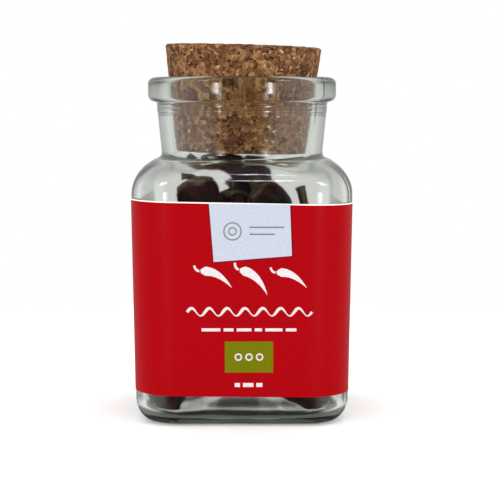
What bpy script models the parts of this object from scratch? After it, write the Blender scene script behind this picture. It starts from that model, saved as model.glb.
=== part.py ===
"""A square spice jar of clear glass, shut with a tapered cork, with a red paper label round its front and
sides, and with whole dried chillies in it. Metres, +Z up, the origin at the middle of the foot, the front
along -Y."""

import math
from collections import namedtuple

import bmesh
import bpy
from mathutils import Vector

# Driving dimensions of the jar's outside
FOOT_HALF = 0.0267
SHOULDER_HALF = 0.0275
BODY_CORNER = 0.0115
FOOT_CORNER = 0.0058
HEEL_WIDTH = 0.0050
HEEL_HEIGHT = 0.0060
SHOULDER_Z = 0.057
SHOULDER_WIDTH = 0.0080
SHOULDER_HEIGHT = 0.0087
SHOULDER_SWEEP = 72
NECK_FOOT_RADIUS = 0.0208
NECK_FOOT_Z = 0.0669
NECK_FILLET = 0.0017
NECK_TOP_RADIUS = 0.0220
RIM_RADIUS = 0.02425
RIM_FOOT_Z = 0.0798
RIM_UNDERCUT = 0.0019
RIM_FILLET = 0.0004
RIM_CROWN = 0.0016
RIM_CROWN_WIDTH = 0.0021
JAR_TOP_Z = 0.0861
LIP_ROUND = 0.0020
PUSH_UP = 0.0032
PUSH_UP_HALF = 0.0200
PUSH_UP_ROUNDING = 0.4

# Driving dimensions of the jar's inside
MOUTH_RADIUS = 0.01945
NECK_INSIDE_FOOT_RADIUS = 0.0180
NECK_INSIDE_FOOT_Z = 0.0667
INNER_TURN = 0.0024
WALL = 0.0020
SHOULDER_WALL = 0.0013
FLOOR_Z = 0.0022
FLOOR_CROWN = 0.0030
FLOOR_ROUND = 0.0024

# Driving dimensions of the cork
CORK_FOOT_Z = 0.0669
CORK_HEIGHT = 0.0271
CORK_FOOT_RADIUS = 0.01675
CORK_TOP_RADIUS = 0.0201
CORK_EDGE = 0.0004
CORK_TILT = math.radians(1.6)

# Driving dimensions of the paper label
LABEL_FOOT_Z = 0.0077
LABEL_TOP_Z = 0.0555
LABEL_FOOT_SLOPE = -0.007
LABEL_TOP_SLOPE = -0.018
LABEL_GAP = 0.0003
LABEL_THICKNESS = 0.0002
LABEL_END_Y = 0.0140

# Driving dimensions of the chillies
CHILLI_SIDES = 12
CHILLI_RINGS = 10
STEM_RADIUS = 0.0010
CALYX_SHARE = 0.62
SWELL = 0.07
TIP_SHARE = 0.2
TAPER = 3.6

QUADRANT_STEPS = 12
CORNER_CROWDING = 0.55

Ring = namedtuple("Ring", "half corner z")
Chilli = namedtuple("Chilli", "stem_end calyx bend tip radius flatness tip_share calyx_share swell",
                    defaults=(TIP_SHARE, CALYX_SHARE, SWELL))

# Each chilli runs from its cut stem through its calyx and a bend to its tip
CHILLIES = (
    Chilli((-0.0156, -0.0110, 0.0626), (-0.0120, -0.0110, 0.0610), (-0.0086, -0.0115, 0.0495),
           (-0.0030, -0.0110, 0.0140), 0.0058, 0.85),
    Chilli((-0.0136, -0.0050, 0.0660), (-0.0095, -0.0050, 0.0644), (0.0105, -0.0055, 0.0690),
           (-0.0010, -0.0030, 0.0180), 0.0048, 0.85, calyx_share=0.3, swell=0.45),
    Chilli((0.0030, -0.0060, 0.0605), (0.0040, -0.0105, 0.0575), (0.0120, -0.0130, 0.0500),
           (0.0160, -0.0090, 0.0140), 0.0055, 0.80),
    Chilli((0.0148, -0.0080, 0.0582), (0.0168, -0.0070, 0.0490), (0.0194, -0.0040, 0.0300),
           (0.0170, 0.0030, 0.0090), 0.0050, 0.85),
    Chilli((-0.0172, -0.0152, 0.0520), (-0.0172, -0.0150, 0.0460), (-0.0184, -0.0158, 0.0260),
           (-0.0189, -0.0167, 0.0057), 0.0055, 0.85, tip_share=0.85),
    Chilli((-0.0170, -0.0110, 0.0420), (-0.0110, -0.0145, 0.0370), (0.0050, -0.0178, 0.0120),
           (0.0204, -0.0164, 0.0055), 0.0055, 0.80, tip_share=0.55),
    Chilli((-0.0175, 0.0040, 0.0520), (-0.0160, 0.0065, 0.0470), (-0.0165, 0.0115, 0.0260),
           (-0.0110, 0.0155, 0.0090), 0.0060, 0.85),
    Chilli((0.0120, 0.0170, 0.0500), (0.0120, 0.0155, 0.0450), (0.0165, 0.0135, 0.0280),
           (0.0135, 0.0155, 0.0090), 0.0058, 0.85),
    Chilli((-0.0040, 0.0110, 0.0590), (-0.0025, 0.0125, 0.0550), (-0.0020, 0.0175, 0.0300),
           (0.0030, 0.0145, 0.0095), 0.0064, 0.80),
    Chilli((-0.0010, 0.0000, 0.0120), (-0.0005, 0.0005, 0.0160), (0.0020, 0.0025, 0.0420),
           (0.0034, 0.0025, 0.0630), 0.0057, 0.85, tip_share=0.72),
    Chilli((-0.0018, -0.0034, 0.0610), (-0.0018, -0.0046, 0.0570), (-0.0016, -0.0080, 0.0440),
           (0.0030, -0.0060, 0.0130), 0.0054, 0.85),
    Chilli((-0.0170, 0.0070, 0.0350), (-0.0140, 0.0080, 0.0330), (0.0000, 0.0130, 0.0280),
           (0.0160, 0.0080, 0.0240), 0.0056, 0.85, tip_share=0.35),
)


def body_half(z):
    """Half the jar's width at a height of its flat sides, which narrow a little towards the foot."""
    share = (z - HEEL_HEIGHT) / (SHOULDER_Z - HEEL_HEIGHT)
    return FOOT_HALF + (SHOULDER_HALF - FOOT_HALF) * share


def arc(centre, semi_axes, start, end, steps):
    """Points (half width, height) along an elliptical arc between two angles in degrees."""
    points = []
    for i in range(steps + 1):
        angle = math.radians(start + (end - start) * i / steps)
        half = centre[0] + semi_axes[0] * math.cos(angle)
        z = centre[1] + semi_axes[1] * math.sin(angle)
        points.append((half, z))
    return points


def underside_rings():
    """The shallow push-up under the foot and the flat ring that the jar stands on."""
    rings = []
    for share in (0.3, 0.6, 0.85, 1.0):
        half = PUSH_UP_HALF * share
        rings.append(Ring(half, half * PUSH_UP_ROUNDING, PUSH_UP * (1 - share**2)))
    return rings


def heel_rings():
    """The rounded edge between the standing ring and the flat sides."""
    centre = (FOOT_HALF - HEEL_WIDTH, HEEL_HEIGHT)
    points = arc(centre, (HEEL_WIDTH, HEEL_HEIGHT), -90, 0, 6)
    return [
        Ring(half, FOOT_CORNER + (BODY_CORNER - FOOT_CORNER) * i / (len(points) - 1), z)
        for i, (half, z) in enumerate(points)
    ]


def shoulder_rings(width, height, half, corner, steps):
    """The round shoulder, where the square body turns into the round neck."""
    centre = (half - width, SHOULDER_Z)
    rings = []
    for a, z in arc(centre, (width, height), 0, SHOULDER_SWEEP, steps):
        share = 1 - (a - centre[0]) / width
        rings.append(Ring(a, corner + (centre[0] - corner) * share, z))
    return rings


def round_rings(points):
    """Rings that are circles, where the corner radius is the half width."""
    return [Ring(half, half, z) for half, z in points]


def hollow_points(radius, z, turn, steps):
    """The hollow curve by which a shoulder runs up into the neck, ending on the neck itself."""
    return arc((radius + turn, z), (turn, turn), 252, 180, steps)


def rim_points():
    """The bead round the mouth, from under it to the top of its inner lip."""
    undercut_centre = (RIM_RADIUS - RIM_UNDERCUT, RIM_FOOT_Z + RIM_UNDERCUT)
    crown_centre = (RIM_RADIUS - RIM_CROWN_WIDTH, JAR_TOP_Z - RIM_CROWN)
    lip_centre = (MOUTH_RADIUS + LIP_ROUND, JAR_TOP_Z - LIP_ROUND)
    return (
        arc(undercut_centre, (RIM_UNDERCUT, RIM_UNDERCUT), -90, 0, 4)
        + arc(crown_centre, (RIM_CROWN_WIDTH, RIM_CROWN), 0, 90, 4)
        + arc(lip_centre, (LIP_ROUND, LIP_ROUND), 90, 180, 3)
    )


def jar_rings():
    """The whole glass, from the middle of its underside, up the outside and down the inside."""
    outside = underside_rings() + heel_rings()
    outside += shoulder_rings(SHOULDER_WIDTH, SHOULDER_HEIGHT, SHOULDER_HALF, BODY_CORNER, 8)
    outside += round_rings(hollow_points(NECK_FOOT_RADIUS, NECK_FOOT_Z, NECK_FILLET, 4))
    outside += round_rings([(NECK_TOP_RADIUS, RIM_FOOT_Z - RIM_FILLET)] + rim_points())
    inside_half = SHOULDER_HALF - WALL
    inside_corner = BODY_CORNER - WALL
    inner_shoulder = shoulder_rings(SHOULDER_WIDTH - SHOULDER_WALL, SHOULDER_HEIGHT - SHOULDER_WALL,
                                    inside_half, inside_corner, 6)
    turn = hollow_points(NECK_INSIDE_FOOT_RADIUS, NECK_INSIDE_FOOT_Z, INNER_TURN, 4)
    inside = round_rings(turn[::-1])
    inside += inner_shoulder[::-1]
    floor_half = FOOT_HALF - WALL
    centre = (floor_half - FLOOR_ROUND, FLOOR_Z + FLOOR_ROUND)
    for half, z in arc(centre, (FLOOR_ROUND, FLOOR_ROUND), 0, -90, 5):
        inside.append(Ring(half, inside_corner, z))
    flat_half = floor_half - FLOOR_ROUND
    for share in (0.75, 0.45, 0.2):
        z = FLOOR_Z + FLOOR_CROWN * (1 - share**2)
        inside.append(Ring(flat_half * share, inside_corner * share, z))
    return outside + inside


def polar_angles():
    """Angles once round, crowded towards the four corners, where the outline bends."""
    angles = []
    for quadrant in range(4):
        for i in range(QUADRANT_STEPS):
            s = 2 * i / QUADRANT_STEPS - 1
            offset = 45 * s * (CORNER_CROWDING + (1 - CORNER_CROWDING) * s * s)
            angles.append(math.radians(90 * quadrant + 45 + offset))
    return angles


def reach(angle, half, corner):
    """Distance from the middle of a rounded square to its outline, in one direction."""
    folded = angle % (math.pi / 2)
    folded = min(folded, math.pi / 2 - folded)
    straight = half - corner
    if folded <= math.atan2(straight, half):
        return half / math.cos(folded)
    along = straight * (math.cos(folded) + math.sin(folded))
    return along + math.sqrt(along * along - 2 * straight * straight + corner * corner)


def ring_points(ring, angles=None):
    """The points of one ring, in order round the jar's axis."""
    points = []
    for angle in angles or polar_angles():
        radius = reach(angle, ring.half, ring.corner)
        points.append(Vector((radius * math.cos(angle), radius * math.sin(angle), ring.z)))
    return points


def loft(mesh, point_rings, closed):
    """Skins rings of equally many points: closed joins the last ring to the first, and otherwise both
    ends are filled."""
    rings = [[mesh.verts.new(point) for point in points] for points in point_rings]
    pairs = list(zip(rings, rings[1:]))
    if closed:
        pairs.append((rings[-1], rings[0]))
    for lower, upper in pairs:
        for i in range(len(lower)):
            j = (i + 1) % len(lower)
            mesh.faces.new((lower[i], lower[j], upper[j], upper[i]))
    if not closed:
        mesh.faces.new(rings[0][::-1])
        mesh.faces.new(rings[-1])
    bmesh.ops.recalc_face_normals(mesh, faces=mesh.faces)


def material(name, colour, roughness, transmission=0.0):
    """A Principled material with a part's own colour and gloss."""
    made = bpy.data.materials.new(name)
    made.use_nodes = True
    shader = made.node_tree.nodes["Principled BSDF"]
    shader.inputs["Base Color"].default_value = (*colour, 1.0)
    shader.inputs["Roughness"].default_value = roughness
    shader.inputs["Metallic"].default_value = 0.0
    shader.inputs["Transmission Weight"].default_value = transmission
    return made


def object_from(name, mesh, finish, sharp_degrees=40):
    """Turns a bmesh into a smooth-shaded object in the scene."""
    data = bpy.data.meshes.new(name)
    mesh.to_mesh(data)
    mesh.free()
    if finish:
        data.materials.append(finish)
    data.shade_smooth()
    data.set_sharp_from_angle(angle=math.radians(sharp_degrees))
    made = bpy.data.objects.new(name, data)
    bpy.context.scene.collection.objects.link(made)
    return made


def build_jar(parent):
    """The pressed glass jar: square body, round shoulder and neck, and a bead round the mouth."""
    mesh = bmesh.new()
    loft(mesh, [ring_points(ring) for ring in jar_rings()], closed=False)
    made = object_from("glass_jar", mesh, material("clear glass", (0.86, 0.90, 0.88), 0.03, 1.0))
    made.parent = parent


def build_cork(parent):
    """The stopper of pressed cork granules, which leans a little in the neck."""
    mesh = bmesh.new()
    bmesh.ops.create_cone(mesh, cap_ends=True, segments=48, radius1=CORK_FOOT_RADIUS,
                          radius2=CORK_TOP_RADIUS, depth=CORK_HEIGHT)
    rims = [edge for edge in mesh.edges if any(len(face.verts) > 4 for face in edge.link_faces)]
    bmesh.ops.bevel(mesh, geom=rims, offset=CORK_EDGE, segments=2, profile=0.5, affect="EDGES", material=-1)
    made = object_from("cork_stopper", mesh, material("pressed cork", (0.30, 0.16, 0.08), 0.85))
    made.parent = parent
    made.location = (0, 0, CORK_FOOT_Z + CORK_HEIGHT / 2)
    made.rotation_euler = (0, CORK_TILT, 0)


def label_angles():
    """Directions of the label's upright sections, from its left end round the front to its right end."""
    front = math.radians(270)
    reach_round = math.radians(90) + math.atan2(LABEL_END_Y, FOOT_HALF)
    turns = [angle + math.tau * turn for angle in polar_angles() for turn in (0, 1)]
    inner = sorted(angle for angle in turns if abs(angle - front) < reach_round - 0.01)
    return [front - reach_round] + inner + [front + reach_round]


def label_edge(z, slope, offset):
    """One edge of the label: the jar's own outline at that height, moved out by an offset, and a little
    higher on one side than on the other."""
    points = ring_points(Ring(body_half(z) + offset, BODY_CORNER + offset, z), label_angles())
    for point in points:
        point.z += slope * point.x
    return points


def build_label(parent):
    """The paper label round the front and both sides, which leaves the back of the jar clear."""
    outer = LABEL_GAP + LABEL_THICKNESS
    edges = (
        label_edge(LABEL_FOOT_Z, LABEL_FOOT_SLOPE, LABEL_GAP),
        label_edge(LABEL_FOOT_Z, LABEL_FOOT_SLOPE, outer),
        label_edge(LABEL_TOP_Z, LABEL_TOP_SLOPE, outer),
        label_edge(LABEL_TOP_Z, LABEL_TOP_SLOPE, LABEL_GAP),
    )
    mesh = bmesh.new()
    loft(mesh, list(zip(*edges)), closed=False)
    made = object_from("paper_label", mesh, material("red paper", (0.45, 0.0, 0.003), 0.5), 30)
    made.parent = parent


def bezier(start, bend, end, t):
    """A point of the quadratic curve that a chilli's body follows, and the curve's direction there."""
    start, bend, end = Vector(start), Vector(bend), Vector(end)
    point = start * (1 - t) ** 2 + bend * 2 * t * (1 - t) + end * t * t
    direction = (bend - start) * (1 - t) + (end - bend) * t
    return point, direction.normalized()


def body_radius(chilli, t):
    """A chilli's radius along its body: a round shoulder under the calyx, then a long taper."""
    shoulder = 1 - (1 - chilli.calyx_share) * math.exp(-t / chilli.swell)
    taper = 1 - (1 - chilli.tip_share) * t**TAPER
    return chilli.radius * shoulder * taper


def chilli_stations(chilli):
    """Centre, direction and radius of each ring, from the cut end of the stem to the tip."""
    stem_end, calyx = Vector(chilli.stem_end), Vector(chilli.calyx)
    along = (calyx - stem_end).normalized()
    stations = [
        (stem_end, along, STEM_RADIUS),
        (stem_end.lerp(calyx, 0.6), along, STEM_RADIUS * 1.1),
        (stem_end.lerp(calyx, 0.85), along, STEM_RADIUS * 1.8),
    ]
    for i in range(CHILLI_RINGS):
        # Rings crowd towards the calyx, where the outline turns fastest
        t = (i / (CHILLI_RINGS - 1)) ** 1.4
        point, direction = bezier(chilli.calyx, chilli.bend, chilli.tip, t)
        stations.append((point, direction, body_radius(chilli, t)))
    tip, direction, radius = stations[-1]
    stations.append((tip + direction * radius * 0.5, direction, radius * 0.6))
    return stations


def chilli_rings(chilli):
    """Rings of points round a chilli, flattened across the jar's depth as dried fruit is."""
    rings = []
    for centre, direction, radius in chilli_stations(chilli):
        side = direction.cross(Vector((0, 1, 0))).normalized()
        flat = side.cross(direction).normalized()
        ring = []
        for i in range(CHILLI_SIDES):
            angle = 2 * math.pi * i / CHILLI_SIDES
            ring.append(centre + side * math.cos(angle) * radius
                        + flat * math.sin(angle) * radius * chilli.flatness)
        rings.append(ring)
    return rings


def apply_modifiers(made):
    """Replaces an object's mesh by what its modifiers make of it, and removes them."""
    graph = bpy.context.evaluated_depsgraph_get()
    data = bpy.data.meshes.new_from_object(made.evaluated_get(graph))
    made.modifiers.clear()
    made.data = data


def build_chillies(parent):
    """The heap of whole dried chillies, fused where they lean on one another."""
    pieces = bpy.data.collections.new("chillies")
    bpy.context.scene.collection.children.link(pieces)
    first, *others = CHILLIES
    for number, chilli in enumerate(others):
        mesh = bmesh.new()
        loft(mesh, chilli_rings(chilli), closed=False)
        piece = object_from(f"chilli_{number}", mesh, None)
        bpy.context.scene.collection.objects.unlink(piece)
        pieces.objects.link(piece)
    mesh = bmesh.new()
    loft(mesh, chilli_rings(first), closed=False)
    made = object_from("dried_chillies", mesh, material("dried chilli skin", (0.035, 0.010, 0.010), 0.4))
    made.parent = parent
    join = made.modifiers.new("fuse", "BOOLEAN")
    join.operation = "UNION"
    join.solver = "EXACT"
    join.operand_type = "COLLECTION"
    join.collection = pieces
    apply_modifiers(made)
    for piece in list(pieces.objects):
        bpy.data.objects.remove(piece)
    bpy.data.collections.remove(pieces)


def main():
    """Clears the scene and builds the four parts under one empty."""
    for old in list(bpy.data.objects):
        bpy.data.objects.remove(old)
    jar_of_chillies = bpy.data.objects.new("jar_of_chillies", None)
    bpy.context.scene.collection.objects.link(jar_of_chillies)
    build_jar(jar_of_chillies)
    build_cork(jar_of_chillies)
    build_label(jar_of_chillies)
    build_chillies(jar_of_chillies)


main()
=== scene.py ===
import logging
import math
from collections.abc import Callable, Iterable, Mapping, Sequence
from dataclasses import dataclass, field
from enum import Enum
from typing import Any

import bmesh
import bpy
from mathutils import Matrix, Vector, noise


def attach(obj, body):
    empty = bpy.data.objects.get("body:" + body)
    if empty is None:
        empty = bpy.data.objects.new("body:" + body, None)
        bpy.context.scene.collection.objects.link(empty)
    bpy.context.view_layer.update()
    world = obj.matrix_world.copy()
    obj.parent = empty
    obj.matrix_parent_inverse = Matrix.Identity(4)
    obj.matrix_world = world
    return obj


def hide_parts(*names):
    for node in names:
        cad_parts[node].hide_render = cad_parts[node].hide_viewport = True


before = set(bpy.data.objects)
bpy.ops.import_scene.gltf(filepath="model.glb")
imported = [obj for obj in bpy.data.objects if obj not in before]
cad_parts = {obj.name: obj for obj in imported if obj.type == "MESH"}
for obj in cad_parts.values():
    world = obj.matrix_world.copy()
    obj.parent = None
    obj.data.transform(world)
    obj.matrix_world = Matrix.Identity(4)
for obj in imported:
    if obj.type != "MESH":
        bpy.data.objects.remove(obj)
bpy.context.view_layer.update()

# A square jar of clear glass, shut with a tapered cork, with a red paper label and dried chillies in it.
# Every size is in millimetres, and finished meshes are scaled to metres
MM = 0.001

# Points by their distance to the side and their height, and rows of them that make a flat shape
Row = Sequence[tuple[float, float]]
Outline = Sequence[Row]

log = logging.getLogger("spice_jar")


class Slot(Enum):
    """The record's material slots that the pieces take their finish from."""

    GLASS = "glass"
    CORK = "cork"
    LABEL = "label"
    CHILLI = "chilli"


class Ink(Enum):
    """The colours printed on the label, as sRGB hex values under neutral light."""

    RED = "9E0009"
    RED_SHADE = "66040F"
    PALE = "B8BECB"
    WHITE = "D8CFD0"
    GREY = "77777C"
    GREEN = "6C6E03"


def linear(hex_colour: str) -> tuple[float, float, float, float]:
    """Turns an sRGB hex colour to the linear values that shaders take.

    Args:
        hex_colour: Six hex digits.

    Returns:
        Red, green, blue and an alpha of 1.
    """
    channels = [int(hex_colour[i:i + 2], 16) / 255 for i in (0, 2, 4)]
    bent = [c / 12.92 if c <= 0.04045 else ((c + 0.055) / 1.055) ** 2.4 for c in channels]
    return (bent[0], bent[1], bent[2], 1.0)


def per_mm(feature_mm: float) -> float:
    """The texture scale on Object coordinates at which one feature is this many millimetres."""
    return 1.0 / (feature_mm * MM)


def add(tree: bpy.types.NodeTree, kind: str, values: Mapping[Any, Any] | None = None,
        links: Mapping[Any, Any] | None = None, stops: Sequence[tuple[float, str]] = (),
        **settings: Any) -> bpy.types.Node:
    """Adds a shader node with its settings, socket values and incoming links.

    Args:
        tree: The node tree that it goes in.
        kind: The node's type, without the ShaderNode prefix.
        values: Default values by input name or number.
        links: What feeds each input, by its name or number: a socket, or a node's first output.
        stops: A colour ramp's positions and hex colours, in order.
        **settings: The node's own properties.

    Returns:
        The new node.
    """
    node = tree.nodes.new("ShaderNode" + kind)
    for name, setting in settings.items():
        setattr(node, name, setting)
    for key, value in (values or {}).items():
        node.inputs[key].default_value = value
    for key, source in (links or {}).items():
        tree.links.new(node.inputs[key], source.outputs[0] if isinstance(source, bpy.types.Node) else source)
    while stops and len(node.color_ramp.elements) < len(stops):
        node.color_ramp.elements.new(0.5)
    for (position, colour), element in zip(stops, node.color_ramp.elements if stops else ()):
        element.position = position
        element.color = linear(colour)
    return node


def blank_material(name: str, inputs: Mapping[str, Any]
                   ) -> tuple[bpy.types.Material, bpy.types.NodeTree, bpy.types.Node]:
    """Makes a material with nothing but its Principled shader and output.

    Args:
        name: The finish's name.
        inputs: Plain values of the shader's inputs.

    Returns:
        The material, its node tree and its Principled shader.
    """
    material = bpy.data.materials.new(name)
    material.use_nodes = True
    tree = material.node_tree
    shader = tree.nodes["Principled BSDF"]
    for key, value in inputs.items():
        shader.inputs[key].default_value = value
    return material, tree, shader


def feed(tree: bpy.types.NodeTree, shader: bpy.types.Node, colour: bpy.types.Node,
         normal: bpy.types.Node) -> None:
    """Joins a finish's colour and its relief to its shader."""
    tree.links.new(shader.inputs["Base Color"], colour.outputs[0])
    tree.links.new(shader.inputs["Normal"], normal.outputs[0])


@dataclass(frozen=True)
class ClearGlass:
    """Pressed soda-lime glass, fire-polished: clear, and a little green where a ray runs far inside it."""

    name: str = "soda_lime_glass_fire_polished"
    tint: str = "FEFEFD"
    roughness: float = 0.08
    ior: float = 1.52
    depth_colour: str = "CBD4C8"
    density: float = 108.0

    def build(self) -> bpy.types.Material:
        """Builds the material.

        Returns:
            The glass, with absorption inside.
        """
        material, tree, _ = blank_material(self.name, {
            "Base Color": linear(self.tint), "Roughness": self.roughness, "IOR": self.ior,
            "Transmission Weight": 1.0})
        inside = add(tree, "VolumeAbsorption", {"Color": linear(self.depth_colour), "Density": self.density})
        tree.links.new(tree.nodes["Material Output"].inputs["Volume"], inside.outputs[0])
        return material


@dataclass(frozen=True)
class PressedCork:
    """Agglomerated cork, sanded: bark granules of many browns bonded under pressure, dry and matt."""

    name: str = "agglomerated_cork_sanded"
    seam: str = "2C170B"
    tones: tuple[str, ...] = ("5A361D", "734929", "875C38", "A1794F")
    bark_fleck: str = "43240F"
    bone_fleck: str = "BFA27C"
    roughness: float = 0.85
    specular: float = 0.2
    granule_mm: float = 1.5
    chip_mm: float = 0.7
    chip_weight: float = 0.45
    ragged_mm: float = 1.0
    ragged_reach_mm: float = 1.5
    opening_mm: float = 1.8
    pore_mm: float = 0.34
    seam_width: float = 0.07
    bark_share: float = 0.03
    bone_share: float = 0.015
    relief_mm: tuple[float, float] = (0.3, 0.25)

    def build(self) -> bpy.types.Material:
        """Builds the material.

        Returns:
            The cork: granules by tone, dark open seams between some of them, and pores.
        """
        material, tree, shader = blank_material(self.name, {
            "Roughness": self.roughness, "Specular IOR Level": self.specular})
        place = add(tree, "TexCoord").outputs["Object"]
        # Granules are ragged chips, so the cells are cut on bent coordinates
        bend = add(tree, "TexNoise", {"Scale": per_mm(self.ragged_mm), "Detail": 3.0, "Roughness": 0.6},
                   {"Vector": place})
        push = add(tree, "VectorMath", {1: (0.5,) * 3}, {0: bend.outputs["Color"]}, operation="SUBTRACT")
        bent = add(tree, "VectorMath", {1: (self.ragged_reach_mm * MM,) * 3}, {0: push, 2: place},
                   operation="MULTIPLY_ADD")
        granule = add(tree, "TexVoronoi", {"Scale": per_mm(self.granule_mm)}, {"Vector": bent})
        chip = add(tree, "TexVoronoi", {"Scale": per_mm(self.chip_mm)}, {"Vector": bent})
        tone = add(tree, "SeparateColor", links={0: granule.outputs["Color"]})
        small = add(tree, "SeparateColor", links={0: chip.outputs["Color"]})
        mixed = add(tree, "Math", {1: self.chip_weight}, {0: small}, operation="MULTIPLY")
        level = add(tree, "Math", {1: 1 - self.chip_weight}, {0: tone, 2: mixed}, operation="MULTIPLY_ADD")
        skin = add(tree, "ValToRGB", links={0: level},
                   stops=[(0.2 + 0.2 * i, colour) for i, colour in enumerate(self.tones)])
        # A few small chips are bark black, and fewer are bone pale
        pick = small.outputs["Green"]
        bark = add(tree, "Math", {1: self.bark_share}, {0: pick}, operation="LESS_THAN")
        bone = add(tree, "Math", {1: 1 - self.bone_share}, {0: pick}, operation="GREATER_THAN")
        edge = add(tree, "TexVoronoi", {"Scale": per_mm(self.granule_mm)}, {"Vector": bent},
                   feature="DISTANCE_TO_EDGE")
        opening = add(tree, "TexNoise", {"Scale": per_mm(self.opening_mm), "Detail": 2.0}, {"Vector": place})
        gape = add(tree, "MapRange", {"From Min": 0.46, "From Max": 0.66}, {"Value": opening})
        width = add(tree, "Math", {1: self.seam_width}, {0: gape}, operation="MULTIPLY")
        seam = add(tree, "Math", links={0: edge, 1: width}, operation="LESS_THAN")
        pores = add(tree, "TexNoise", {"Scale": per_mm(self.pore_mm), "Detail": 2.0, "Roughness": 0.6},
                    {"Vector": place})
        pore = add(tree, "MapRange", {"From Min": 0.41, "From Max": 0.33}, {"Value": pores})
        holes = add(tree, "Math", links={0: seam, 1: pore}, operation="MAXIMUM")
        colour = skin
        for mask, shade in ((bark, self.bark_fleck), (bone, self.bone_fleck), (holes, self.seam)):
            colour = add(tree, "MixRGB", {"Color2": linear(shade)}, {"Fac": mask, "Color1": colour})
        sunk = add(tree, "Math", {0: 1.0}, {1: holes}, operation="SUBTRACT")
        granular = add(tree, "Bump", {"Strength": 0.4, "Distance": self.relief_mm[0] * MM}, {"Height": level})
        pitted = add(tree, "Bump", {"Strength": 0.6, "Distance": self.relief_mm[1] * MM},
                     {"Height": sunk, "Normal": granular})
        feed(tree, shader, colour, pitted)
        return material


@dataclass(frozen=True)
class PrintedPaper:
    """Coated label paper, printed: a smooth face with a soft sheen, whose ink and fibres vary a little."""

    name: str
    colour: str
    roughness: float = 0.42
    specular: float = 0.03
    mottle_mm: float = 0.6
    # Paper fibres are finer than a pixel here, so they are drawn at a quarter of a millimetre
    fibre_mm: float = 0.25
    fibre_relief_mm: float = 0.01

    def build(self) -> bpy.types.Material:
        """Builds the material.

        Returns:
            The paper.
        """
        material, tree, shader = blank_material(self.name, {
            "Roughness": self.roughness, "Specular IOR Level": self.specular})
        place = add(tree, "TexCoord").outputs["Object"]
        mottle = add(tree, "TexNoise", {"Scale": per_mm(self.mottle_mm), "Detail": 4.0, "Roughness": 0.6},
                     {"Vector": place})
        shade = add(tree, "ValToRGB", links={0: mottle}, stops=[(0.3, "F0F0F0"), (0.7, "FFFFFF")])
        colour = add(tree, "MixRGB", {"Fac": 1.0, "Color1": linear(self.colour)}, {"Color2": shade},
                     blend_type="MULTIPLY")
        fibre = add(tree, "TexNoise", {"Scale": per_mm(self.fibre_mm), "Detail": 2.0}, {"Vector": place})
        relief = add(tree, "Bump", {"Strength": 0.5, "Distance": self.fibre_relief_mm * MM},
                     {"Height": fibre})
        feed(tree, shader, colour, relief)
        return material


@dataclass(frozen=True)
class DriedSkin:
    """Sun-dried chilli skin: thin, leathery and glossy, maroon where thin, with painted shade that turns the
    folds near black.
    """

    name: str = "sun_dried_chilli_skin"
    # Painted shade: the near-black colour laid into the folds, where shade falls
    fold: str = "070303"
    body: str = "080203"
    thin: str = "3E1317"
    specular: float = 0.12
    roughness: tuple[float, float] = (0.26, 0.46)
    blotch_mm: float = 7.0
    wrinkle_mm: float = 1.1
    wrinkle_relief_mm: float = 0.25

    def build(self) -> bpy.types.Material:
        """Builds the material.

        Returns:
            The skin, with painted shade darkening the folds that the mesh marks.
        """
        material, tree, shader = blank_material(self.name, {"Specular IOR Level": self.specular})
        place = add(tree, "TexCoord").outputs["Object"]
        # The mesh's fold depth masks the painted shade that darkens the skin in its folds
        fold = add(tree, "Attribute", attribute_name="fold_depth").outputs["Fac"]
        blotch = add(tree, "TexNoise", {"Scale": per_mm(self.blotch_mm), "Detail": 4.0, "Roughness": 0.6},
                     {"Vector": place})
        skin = add(tree, "ValToRGB", links={0: blotch}, stops=[(0.38, self.body), (0.62, self.thin)])
        colour = add(tree, "MixRGB", {"Color2": linear(self.fold)}, {"Fac": fold, "Color1": skin})
        gloss = add(tree, "MapRange", {"From Min": 0.3, "From Max": 0.7, "To Min": self.roughness[0],
                                       "To Max": self.roughness[1]}, {"Value": blotch})
        tree.links.new(shader.inputs["Roughness"], gloss.outputs["Result"])
        wrinkle = add(tree, "TexNoise", {"Scale": per_mm(self.wrinkle_mm), "Detail": 3.0, "Roughness": 0.55},
                      {"Vector": place})
        relief = add(tree, "Bump", {"Strength": 0.6, "Distance": self.wrinkle_relief_mm * MM},
                     {"Height": wrinkle})
        feed(tree, shader, colour, relief)
        return material


@dataclass(frozen=True)
class DriedStalk:
    """Dried calyx and stalk: dull olive brown and fibrous, darker and paler in blotches."""

    name: str = "dried_chilli_stalk"
    tones: tuple[tuple[float, str], ...] = ((0.32, "241A0E"), (0.5, "453522"), (0.7, "6A5838"))
    roughness: float = 0.65
    specular: float = 0.3
    blotch_mm: float = 2.4
    fibre_mm: float = 0.4
    fibre_relief_mm: float = 0.15

    def build(self) -> bpy.types.Material:
        """Builds the material.

        Returns:
            The stalk's finish.
        """
        material, tree, shader = blank_material(self.name, {
            "Roughness": self.roughness, "Specular IOR Level": self.specular})
        place = add(tree, "TexCoord").outputs["Object"]
        blotch = add(tree, "TexNoise", {"Scale": per_mm(self.blotch_mm), "Detail": 4.0, "Roughness": 0.65},
                     {"Vector": place})
        colour = add(tree, "ValToRGB", links={0: blotch}, stops=self.tones)
        fibre = add(tree, "TexNoise", {"Scale": per_mm(self.fibre_mm), "Detail": 2.0}, {"Vector": place})
        relief = add(tree, "Bump", {"Strength": 0.8, "Distance": self.fibre_relief_mm * MM},
                     {"Height": fibre})
        feed(tree, shader, colour, relief)
        return material


@dataclass(frozen=True)
class StudioPaper:
    """Seamless white background paper, uncoated, so it is plain and matt."""

    name: str = "seamless_studio_paper"
    colour: str = "FCFCFC"
    roughness: float = 0.9
    specular: float = 0.1

    def build(self) -> bpy.types.Material:
        """Builds the material, which is plain."""
        return blank_material(self.name, {"Base Color": linear(self.colour), "Roughness": self.roughness,
                                          "Specular IOR Level": self.specular})[0]


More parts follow.
